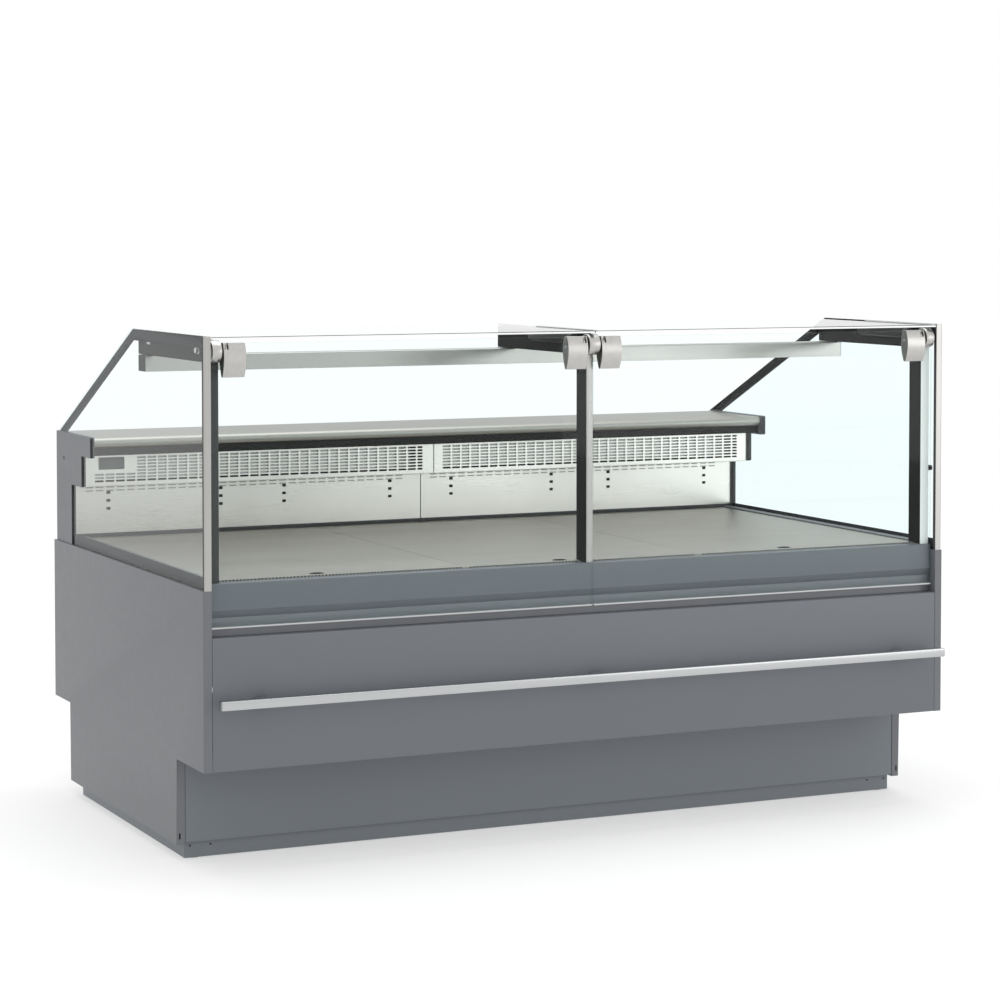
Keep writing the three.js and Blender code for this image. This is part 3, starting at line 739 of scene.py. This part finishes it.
def back_wall():
    display_x, display_d, display_z = extents("temperature_display")
    deck_top = extents("deck_plate_centre")[2][1]
    for name, side in SIDES:
        node = f"back_panel_{name}"
        x, d, z = extents(node)
        brackets = sorted(side * p for p in (94, 410, 594, 912))
        sheet_x = trimmed(x, 0.4)
        columns = sorted({*sheet_x, *[edge for b in brackets for edge in around(b, 10)]})
        heights = (763, 784.5, 806)
        rows = sorted({z[0], z[1] - 2, *[edge for h in heights for edge in around(h, 9)]})

        def bracket_hole(i, j):
            centre = ((columns[i] + columns[i + 1]) / 2, (rows[j] + rows[j + 1]) / 2)
            near = [min(abs(c - place) for place in places) for c, places in zip(centre, (brackets, heights))]
            return slot_outline(centre, 11, 7.5, 1.5) if max(near) < 1 else None

        bm = bmesh.new()
        pierced(bm, "y", columns, rows, bracket_hole, d[0], 1.5)
        piece(f"back_skin_{name}", bm, steel_x, replaces=[node], bevel=0.25)
        # black sheet behind the bracket slots: painted shade in the slots
        bm = bmesh.new()
        for b in brackets:
            block(bm, around(b, 14), (d[1] + 6, d[1] + 7), (heights[0] - 14, heights[-1] + 14))
        piece(f"bracket_slot_shade_{name}", bm, black_plastic)
        # dark strip along the panel's foot on the deck: painted shade in the gap under the back panel
        bm = bmesh.new()
        bar(bm, "x", (d[0] - 1.2, d[0] + 0.3), (deck_top + 0.2, deck_top + 9.5), sheet_x, 0.5, 2)
        piece(f"back_foot_painted_shade_{name}", bm, gasket_and_shade)
        # raised slots in the same steel sheet, drawn darker: painted shade
        bm = bmesh.new()
        for height in (820.5, 811.5):
            for k in range(SLOT_COLUMNS):
                middle = x[0] + SLOT_START + SLOT_PITCH * (k + 0.5)
                prism(bm, slot_loop((middle, height), 21, 3.2), "y", (d[0] - 0.8, d[0] + 0.5))
        piece(f"back_emboss_{name}", bm, emboss_painted_shade, bevel=0.3)

        node = f"air_grille_{name}"
        x, d, z = extents(node)
        face = d[0]
        left = x[0] + SLOT_START
        columns = [x[0] + 0.4] + [left + SLOT_PITCH * k for k in range(SLOT_COLUMNS + 1)]
        columns += [columns[-1] + 20, x[1] - 0.4]
        rows = [ROW_START + ROW_PITCH * (k - 0.5) for k in range(ROW_COUNT + 1)]
        rows = [z[0] + 2.6, *rows, z[1] - 3]

        def slot(i, j):
            if not (1 <= i <= SLOT_COLUMNS + 1 and 1 <= j <= ROW_COUNT):
                return None
            span = columns[i], columns[i + 1]
            height = (rows[j] + rows[j + 1]) / 2
            beside_display = span[1] > display_x[0] - 12 and span[0] < display_x[1] + 6
            if beside_display and height > display_z[0] - 6:
                return None
            return slot_outline(((span[0] + span[1]) / 2, height), span[1] - span[0] - 4.2, 4.9)

        bm = bmesh.new()
        pierced(bm, "y", columns, rows, slot, face, 1.5)
        for path in ([(face + 16, z[1]), (face, z[1]), (face, z[1] - 3)],
                     [(face, z[0] + 2.6), (face, z[0]), (1086.5, 830.4)]):
            prism(bm, folded(path, 1.5, 2.4), "x", (columns[0], columns[-1]))
        piece(f"grille_skin_{name}", bm, steel_x, replaces=[node], bevel=0.2)
        bm = bmesh.new()
        start, bend = x[0] + 6, left + SLOT_PITCH * (SLOT_COLUMNS - 2)
        end = bend + 1.6 * SLOT_PITCH
        path = [(start, face + 4.5), (bend, face + 4.5), (end, face + 22), (end, face + 24), (bend, face + 6),
                (start, face + 6)]
        prism(bm, path, "z", (ROW_START + ROW_PITCH / 2 + 0.6, z[1] - 3))
        piece(f"duct_sheet_{name}", bm, duct_grey)
        bm = bmesh.new()
        block(bm, trimmed(x, 6), (face + 40, face + 42), (z[0] + 8, z[1] - 3))
        piece(f"duct_shadow_{name}", bm, black_plastic)

    x, d, z = display_x, display_d, display_z
    bm = bmesh.new()
    bar(bm, "y", x, z, (d[0] + 3, d[1] - 0.1), 2.5, 4)
    bar(bm, "y", trimmed(x, 3), trimmed(z, 3), (d[0] + 2.4, d[0] + 3.4), 1.5, 3, 1)
    piece("display_window", bm, [display_frame, dark_window],
          replaces=["temperature_display"], bevel=0.4)


back_wall()


def worktop():
    x, d, z = extents("worktop")
    radius = (z[1] - z[0]) / 2 - 0.2
    centre = (d[0] + radius, (z[0] + z[1]) / 2)
    arc = [(centre[0] + radius * math.cos(t), centre[1] + radius * math.sin(t))
           for t in (math.pi / 2 + math.pi * k / 14 for k in range(15))]
    bm = bmesh.new()
    prism(bm, [(d[1], z[0] + 0.2), (d[1], z[1] - 0.2)] + arc, "x", trimmed(x, 1.2))
    # the rounded front of the worktop gets the darker copy of its steel: painted shade
    nose = at(0, centre[0] - 2, 0).y
    mark(bm, lambda face: face.calc_center_median().y < nose and abs(face.normal.z) < 0.9)
    piece("worktop_sheet", bm, [steel_worktop, worktop_nose_painted_shade], replaces=["worktop"], bevel=0.5)
    x, d, z = extents("plenum_cap")
    bm = bmesh.new()
    bar(bm, "x", d, (z[0], z[1] + 0.1), x, 1.5)
    piece("plenum_band", bm, band_coat, replaces=["plenum_cap"], bevel=0.3)
    for name, side in SIDES:
        node = f"cheek_{name}"
        x, d, z = extents(node)
        outline = CHEEK_STEPS + [(1080, z[0]), (d[1], z[0]), (d[1], 968)]
        bm = bmesh.new()
        prism(bm, rounded(outline, [2, 2, 2, 2, 2, 0, 0, 2], 3), "x", x)
        piece(f"cheek_skin_{name}", bm, paint_end, replaces=[node], bevel=0.8)
        inner, outer = x[::side]
        # near-black strips over the cheek's stepped front edges: painted shade on edges that share the
        # cheek's grey paint
        bm = bmesh.new()
        edge = mirrored(side, abs(inner) + 0.2, abs(inner) + 11.4)
        for face, span in ((908, (915, 966)), (988, (834, 913)), (1080, (673, 831))):
            bar(bm, "y", edge, span, (face - 1.1, face + 0.2), 0.8, 2)
        piece(f"cheek_edge_painted_shade_{name}", bm, cheek_edge_shade_coat)
        bm = bmesh.new()
        screw_head(bm, "x", (outer, 1150, 899), 5.5, 2.2, side)
        piece(f"cheek_screws_{name}", bm, dark_alloy_and_painted_reflection)


worktop()


# ---- operator's side ----
def middle_hole(centre, width, height, radius):
    """For pierced(): one hole, in the middle cell of a sheet of three by three."""
    return lambda i, j: slot_outline(centre, width, height, radius) if i == j == 1 else None


def operator_side():
    x, d, z = extents("rear_panel")
    face = d[1]
    window = extents("control_panel")
    bm = bmesh.new()
    inside = trimmed(window[0], 10), trimmed(window[2], 10)
    columns = [x[0] + 0.8, *inside[0], x[1] - 0.8]
    rows = [z[0] + 0.5, *inside[1], z[1] - 0.5]
    pierced(bm, "y", columns, rows, middle_hole([sum(span) / 2 for span in inside],
                                                *[span[1] - span[0] - 1 for span in inside], 2), face, -1.6)
    piece("rear_panel_skin", bm, paint_grey, replaces=["rear_panel"], bevel=0.5)
    bm = bmesh.new()
    for screw_x in (-940, -330, 330, 940):
        for screw_z in (266, 918):
            screw_head(bm, "y", (screw_x, face, screw_z), 5, 2, 1)
    piece("rear_screws", bm, screw_metal)
    bm = bmesh.new()
    bar(bm, "y", (-2, 2), trimmed(z, 1.5), (face - 0.3, face + 0.4), 1.2)
    piece("rear_joint_strip", bm, gasket_and_shade)

    x, d, z = window
    switch = extents("light_switch")
    switch_x = (switch[0][0] + switch[0][1]) / 2
    middle = (z[0] + z[1]) / 2
    columns = [x[0], *around(switch_x, 12), x[1]]
    rows = [z[0], *around(middle, 16), z[1]]
    bm = bmesh.new()
    pierced(bm, "y", columns, rows, middle_hole((switch_x, middle), 14.6, 22.6, 1), d[1], -4)
    piece("control_bezel", bm, black_plastic, replaces=["control_panel"], bevel=0.8)
    bm = bmesh.new()
    bar(bm, "y", (x[0] + 14, x[0] + 66), around(middle, 17), (d[1] - 1, d[1] + 0.8), 3, 4)
    piece("control_window", bm, dark_window, bevel=0.3)
    bm = bmesh.new()
    for height in (middle - 11, middle, middle + 11):
        lathe(bm, [(0, 2), (3.2, 2), (4, 1.2), (4, -0.5), (0, -0.5)], "y", (x[0] + 76, d[1], height), 20)
    piece("control_buttons", bm, button_grey)
    bm = bmesh.new()
    bm.from_mesh(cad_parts["light_switch"].data)
    bmesh.ops.dissolve_limit(bm, angle_limit=0.02, verts=bm.verts, edges=bm.edges)
    piece("rocker", bm, black_plastic, body="light_switch_rocker", replaces=["light_switch"],
          bevel=0.7, segments=3)


operator_side()


# ---- glazing ----
def pane(name, outline, axis, span, node, body=ROOT, glasses=(glass_pane, glass_edge)):
    """Glass plate with polished edges of a slightly darker glass."""
    bm = bmesh.new()
    prism(bm, outline, axis, span)
    mark(bm, lambda face: abs(face.normal[AXES.index(axis)]) <= 0.9)
    obj = piece(name, bm, glasses, body=body, replaces=[node])
    modifier = obj.modifiers.new("edges", "BEVEL")
    modifier.width, modifier.segments = 1.0 * MM, 1
    modifier.limit_method, modifier.angle_limit = "ANGLE", math.radians(50)
    modifier.material = 1


def inset(points, widths):
    """The corner points of the outline moved inwards, each side by its own width."""
    count = len(points)
    area = sum(points[i - 1][0] * points[i][1] - points[i][0] * points[i - 1][1] for i in range(count))
    turn = 1 if area > 0 else -1
    lines = []
    for i in range(count):
        a, b = Vector(points[i]), Vector(points[(i + 1) % count])
        along = (b - a).normalized()
        normal = Vector((-along.y, along.x)) * turn
        lines.append((a + normal * widths[i], along))
    moved = []
    for i in range(count):
        (p, u), (q, v) = lines[i - 1], lines[i]
        cross = u.x * v.y - u.y * v.x
        t = ((q - p).x * v.y - (q - p).y * v.x) / cross
        moved.append(p + u * t)
    return moved


def side_glazing(name, side):
    node = f"side_glass_{name}"
    x, d, z = extents(node)
    gap = 0.3
    outline = [(d[0], z[0]), (d[0], z[1]), (extents("top_glass_left")[1][1], z[1]), (1217, 968 + gap),
               (908 - gap, 968 + gap), *[(edge - gap, height - gap) for edge, height in CHEEK_STEPS[1:]],
               (1080 - gap, z[0])]
    pane(f"side_pane_{name}", outline, "x", x, node)
    front, band, line, least = 5, 29, 4.5, 0.0001
    widths = [front, band, band, 0, 0, 0, 0, 0, 0, band]
    inner = inset(outline, [max(w, least) for w in widths])
    rim = inset(outline, [min(w, line) + least for w in widths])
    layer = sorted(x[::side][0] - side * depth for depth in (0.05, 0.45))
    bm = bmesh.new()
    for i, width in enumerate(widths):
        j = (i + 1) % len(widths)
        if width:
            prism(bm, [outline[i], outline[j], rim[j], rim[i]], "x", layer, 1)
        if width == band:
            prism(bm, [rim[i], rim[j], inner[j], inner[i]], "x", layer)
    piece(f"glass_border_{name}", bm, [frit, frit_line])


def edge_profile(name, side):
    """Profile that closes the side glass's front edge, with a gasket along each of its legs."""
    x, d, z = extents(f"edge_profile_{name}")
    inner, outer = x[::side]
    section = [(inner, d[0] + 0.6), (inner + side * 0.6, d[0]), (outer - side * 3.2, d[0]),
               (outer, d[0] + 2.6), (outer - side * 0.8, d[0] + 3.4), (outer - side * 0.8, d[1]),
               (outer - side * 4, d[1]), (outer - side * 4, d[1] - 3), (inner + side * 5, d[1] - 3),
               (inner + side * 5, d[1]), (inner + side * 0.8, d[1]), (inner + side * 0.8, d[0] + 1.6),
               (inner, d[0] + 1.2)]
    bm = bmesh.new()
    prism(bm, section, "z", trimmed(z, 0.3))
    piece(f"edge_profile_skin_{name}", bm, steel_profile, replaces=[f"edge_profile_{name}"],
          bevel=0.35)
    bm = bmesh.new()
    for leg, inward, start in ((outer, -side, 3.6), (inner, side, 1.8)):
        bar(bm, "z", sorted((leg, leg + inward * 0.7)), (d[0] + start, d[1]), trimmed(z, 0.4), 0.25, 2)
    piece(f"edge_profile_gaskets_{name}", bm, gasket_and_shade)


def top_glazing(name):
    node = f"top_glass_{name}"
    x, d, z = extents(node)
    pane(f"top_pane_{name}", rect(x, d), "z", z, node, glasses=(glass_top, glass_rim))
    line = z[1] - 1.6
    bm = bmesh.new()
    for index, height in enumerate(((z[0] + 0.1, line), (line, z[1] - 0.2))):
        prism(bm, rect((d[0] - 0.5, d[0] + 0.1), height), "x", trimmed(x, 0.5), index)
    piece(f"top_edge_seal_{name}", bm, [seal_white, frit])


def front_leaf(name, side):
    body = f"front_glass_leaf_{name}"
    node = f"front_glass_{name}"
    x, d, z = extents(node)
    near, far = (x[0], x[1]) if side > 0 else (-x[1], -x[0])
    notch, end_notch, middle_notch = 1197, 951.3, 33.7
    outline = [(side * p, h) for p, h in ((near, z[0]), (far, z[0]), (far, notch), (end_notch, notch),
                                          (end_notch, z[1]), (middle_notch, z[1]), (middle_notch, notch),
                                          (near, notch))]
    pane(f"front_pane_{name}", outline, "y", d, node, body)
    x, d, z = extents(f"glass_trim_{name}")
    bm = bmesh.new()
    near, far = trimmed(d, 0.2)
    rim = z[0] + 3.4
    prism(bm, folded([(far, rim), (far, z[0]), (near, z[0]), (near, rim)], 1.2, 1.4, 3), "x", trimmed(x, 0.3))
    piece(f"glass_strip_{name}", bm, steel_bright, body=body, replaces=[f"glass_trim_{name}"],
          bevel=0.2)
    for place in ("end", "centre"):
        clamp(name, side, place, body)


def dark_reflection_on_ends(bm):
    """The end faces across x get the darker second material: a painted reflection of the dark arms."""
    mark(bm, lambda face: abs(face.normal.x) > 0.95)


def clamp(name, side, place, body):
    node = f"glass_clamp_{name}_{place}"
    x, _, z = extents(node)
    middle = 18
    bulge, top_half, foot_half, crown = 27, 7, 3.5, 1212

    def curve(start, control, end, steps=12):
        return [((1 - t) ** 2 * start[0] + 2 * t * (1 - t) * control[0] + t * t * end[0],
                 (1 - t) ** 2 * start[1] + 2 * t * (1 - t) * control[1] + t * t * end[1])
                for t in (k / steps for k in range(steps + 1))]

    profile = curve((middle - top_half, z[1]), (middle - bulge, crown), (middle - foot_half, z[0]))
    profile += curve((middle + foot_half, z[0]), (middle + bulge, crown), (middle + top_half, z[1]))
    bm = bmesh.new()
    prism(bm, profile, "x", x)
    toward = -1 if (side > 0) == (place == "end") else 1
    knuckle_x, outside = x[::toward]
    notch = bmesh.new()
    block(notch, sorted((knuckle_x + toward * 3.5, knuckle_x + toward * 12.5)), (middle - 24, middle - 2.5),
          (z[1] - 16, z[1] + 2))
    bm = subtract(bm, notch)
    dark_reflection_on_ends(bm)
    piece(f"clamp_body_{name}_{place}", bm, [alloy, dark_alloy_and_painted_reflection], body=body, replaces=[node],
          bevel=1.1, segments=3)
    bm = bmesh.new()
    lathe(bm, [(0, 1.5), (1.6, 1.5), (1.8, 3.6), (3.2, 3.4), (3.9, 2.6), (4, -3), (0, -3)], "z",
          (knuckle_x + toward * 8, middle - 6.5, z[1] - 14.5), 18)
    lathe(bm, [(0, 0.6), (1.9, 0.6), (2.2, 2.0), (3.9, 1.2), (3.9, -1), (0, -1)], "x",
          (knuckle_x - toward * 0.4, 15.5, 1231), 18)
    screw_head(bm, "x", (outside, 18.5, 1222), 3.6, 1.3, toward)
    piece(f"clamp_screws_{name}_{place}", bm, screw_metal, body=body)


for end_name, end_side in SIDES:
    side_glazing(end_name, end_side)
    edge_profile(end_name, end_side)
for end_name, _ in SIDES:
    top_glazing(end_name)
for end_name, end_side in SIDES:
    front_leaf(end_name, end_side)


# ---- posts, arms and light bar ----
HINGE = (27, 1227.5)
LEFT, CENTRE, RIGHT = "left", "centre", "right"


def post(place, reach, material):
    """A dark web with a flat front plate, chamfered at its far corner, that reaches past the web's edge."""
    node = f"post_{place}"
    x, d, z = extents(node)
    skin = d[0] + 1.6
    bm = bmesh.new()
    prism(bm, rect(x, (skin, d[1])), "z", (z[0] + 0.2, z[1] - 0.1))
    piece(f"post_web_{place}", bm, black_coat, replaces=[node], bevel=0.6)
    near, far = x[0] + 0.1, x[1] + reach
    bm = bmesh.new()
    prism(bm, [(near, d[0]), (far - 5, d[0]), (far, d[0] + 0.9), (far, skin), (near, skin)], "z",
          (z[0] + 0.1, z[1]))
    piece(f"post_front_{place}", bm, material, bevel=0.25)


def arm(place, web, knuckle, pin):
    """An arm's web, and the cast knuckle at its front with the hinge pin of the clamps beside it."""
    node = f"arm_{place}"
    _, d, z = extents(node)
    bm = bmesh.new()
    bar(bm, "x", (40, d[1]), (z[0] + 0.1, z[1]), web, [0, 3, 3, 0])
    piece(f"arm_web_{place}", bm, black_coat, replaces=[node], bevel=0.9)
    radius, width = 26.3, knuckle[1] - knuckle[0]
    half = [(0, 0.2), (5, 0.2), (5.6, 0), (radius - 1.8, 0), (radius - 0.5, 0.6), (radius, 1.8)]
    bm = bmesh.new()
    lathe(bm, half + [(r, width - h) for r, h in half[::-1]], "x", (knuckle[0], *HINGE), 56)
    foot = [(32, 1201.4), (59.5, 1201.4), (59.5, 1246), (32, 1250)]
    prism(bm, rounded(foot, [0, 3, 3, 0], 4), "x", trimmed(knuckle, 0.8))
    length = pin[1] - pin[0]
    lathe(bm, [(0, 0), (3.4, 0), (4, 0.6), (4, length - 0.6), (3.4, length), (0, length)], "x",
          (pin[0], *HINGE), 24)
    dark_reflection_on_ends(bm)
    piece(f"knuckle_{place}", bm, [alloy, dark_alloy_and_painted_reflection], bevel=0.3)


def counterbalance(name):
    node = f"counterbalance_{name}"
    x, d, z = extents(node)
    r, rear = (x[1] - x[0]) / 2, d[1]
    rod = [(0, d[0]), (4, d[0]), (4, 72), (6, 72)]
    collar = [(r - 2.5, 72.5), (r - 0.4, 74), (r, 77), (r, 92), (r - 0.5, 93), (r - 0.5, 95), (r, 96)]
    tail = [(r, rear - 12), (r - 1, rear - 7.5), (r - 3.5, rear - 3), (r - 7, rear - 0.8), (0, rear)]
    bm = bmesh.new()
    lathe(bm, rod + collar + tail, "y", (sum(x) / 2, 0, sum(z) / 2), 32)
    piece(f"counterbalance_tube_{name}", bm, tube_coat, replaces=[node])


def light_bar():
    x, d, z = extents("light_bar")
    cap = 1.4
    bm = bmesh.new()
    prism(bm, folded([(d[1], z[0]), (d[1], z[1]), (d[0], z[1]), (d[0], z[0])], 2, 3.5), "x", trimmed(x, 1.2))
    piece("light_channel", bm, steel_channel, replaces=["light_bar"], bevel=0.3)
    bm = bmesh.new()
    for end in (x[0], x[1] - cap):
        bar(bm, "x", trimmed(d, 0.2), trimmed(z, 0.2), (end, end + cap), 2.5)
    piece("light_channel_caps", bm, black_coat, bevel=0.2)
    foot, crown = trimmed(d, 6), trimmed(d, 10)
    lens = [(foot[0], z[1] - 18), (foot[1], z[1] - 18), (crown[1], z[1] - 8), (crown[0], z[1] - 8)]
    bm = bmesh.new()
    prism(bm, rounded(lens, 4, 4), "x", trimmed(x, 20))
    piece("lamp_lens", bm, lamp_white, bevel=0.5)


def top_fittings():
    top = extents("top_glass_right")[2][1]
    for place, span in ((CENTRE, (-8, 8)), (RIGHT, (982, 998))):
        bm = bmesh.new()
        bar(bm, "z", span, (1, 325), (top, top + 1.9), 3)
        piece(f"top_cover_{place}", bm, steel_bright, bevel=0.5)
    bm = bmesh.new()
    for d, z in (((2, 15), (1257, 1261.9)), ((15, 565), (1257.5, 1261.7))):
        prism(bm, rect(d, z), "x", (-1.3, 1.3))
    piece("top_joint_gasket", bm, gasket_and_shade)


def side_fittings():
    """Stand-offs between the arms and the side glasses, and the glasses' round buttons."""
    disc = [(0, 0), (9, 0), (9, 1), (7, 2), (7, 8), (5.5, 9.4), (0, 9.4)]
    rod = [(458, 1243), (466, 1243), (466, 1229), (440, 1229), (440, 1236), (458, 1236)]
    button = [(0, -4), (6, -4), (7, -3.2), (7, 3.2), (6, 4), (0, 4)]
    fittings, buttons = bmesh.new(), bmesh.new()
    for _, side in SIDES:
        lathe(fittings, [(r, h * side) for r, h in disc], "x", (996.2 * side, 96, 1228), 28)
        prism(fittings, rounded(rod, 1.5, 3), "x", mirrored(side, 996.2, 1003))
        lathe(buttons, button, "x", (1003.5 * side, 34, 885), 24)
    piece("arm_stand_offs", fittings, alloy, bevel=0.3)
    piece("glass_buttons", buttons, black_plastic)


post(LEFT, 3.5, post_coat)
arm(LEFT, (-996, -980), (-994, -970), (-989, -948))
post(CENTRE, -0.1, steel_post)
arm(CENTRE, (-8, 8), (-15, 15), (-37, 37))
# the right post's steel front plate is painted near white: painted reflection
post(RIGHT, 7.0, post_painted_reflection)
arm(RIGHT, (980, 996), (970, 994), (948, 989))
for end_name, _ in SIDES:
    counterbalance(end_name)
light_bar()
top_fittings()
side_fittings()


# ---- stage, light and camera ----
def stage():
    white = (0.42, 0.42, 0.42)
    floor_look = Look("floor_white", white, 0.75)
    floor_look.tint(floor_look.noise(1.5, 2.0), white, 0.417 / 0.42, 0.423 / 0.42)
    floor_look.shader.inputs["Emission Color"].default_value = (1, 1, 1, 1)
    floor_look.shader.inputs["Emission Strength"].default_value = 0.5
    mesh = bpy.data.meshes.new("floor")
    reach = 30.0
    mesh.from_pydata([(-reach, -reach, 0), (reach, -reach, 0), (reach, reach, 0), (-reach, reach, 0)], [],
                     [(0, 1, 2, 3)])
    mesh.materials.append(floor_look.material)
    floor = bpy.data.objects.new("floor", mesh)
    bpy.context.scene.collection.objects.link(floor)

    world = bpy.data.worlds.new("studio")
    world.use_nodes = True
    world.node_tree.nodes["Background"].inputs["Color"].default_value = (1, 1, 1, 1)
    world.node_tree.nodes["Background"].inputs["Strength"].default_value = 1.0
    bpy.context.scene.world = world

    def softbox(name, place, target, size, power):
        lamp = bpy.data.lights.new(name, "AREA")
        lamp.shape, lamp.size, lamp.size_y, lamp.energy = "RECTANGLE", size[0], size[1], power
        obj = bpy.data.objects.new(name, lamp)
        obj.location = place
        obj.rotation_euler = (Vector(target) - Vector(place)).to_track_quat("-Z", "Y").to_euler()
        bpy.context.scene.collection.objects.link(obj)

    softbox("key_right", (4.2, -5.5, 1.7), (0.4, 0, 0.8), (3.4, 2.6), 50)
    softbox("overhead", (0, 0.2, 4.6), (0, 0, 0), (4.0, 3.0), 80)
    sky = bpy.data.lights.new("sky", "SUN")
    sky.energy, sky.angle = 0.25, math.radians(120)
    overhead = bpy.data.objects.new("sky", sky)
    bpy.context.scene.collection.objects.link(overhead)

    camera = bpy.data.cameras.new("camera")
    camera.sensor_width = 36.0
    camera.lens = 101.57
    camera.shift_y = -0.15
    camera.clip_start, camera.clip_end = 0.1, 100.0
    obj = bpy.data.objects.new("camera", camera)
    obj.location = (-3.152, FRONT - 6.1928, 1.515)
    obj.rotation_euler = (math.radians(90 - 2.48), 0, math.radians(-25.03))
    bpy.context.scene.collection.objects.link(obj)
    bpy.context.scene.camera = obj
    bpy.context.scene.view_settings.view_transform = "Standard"


stage()
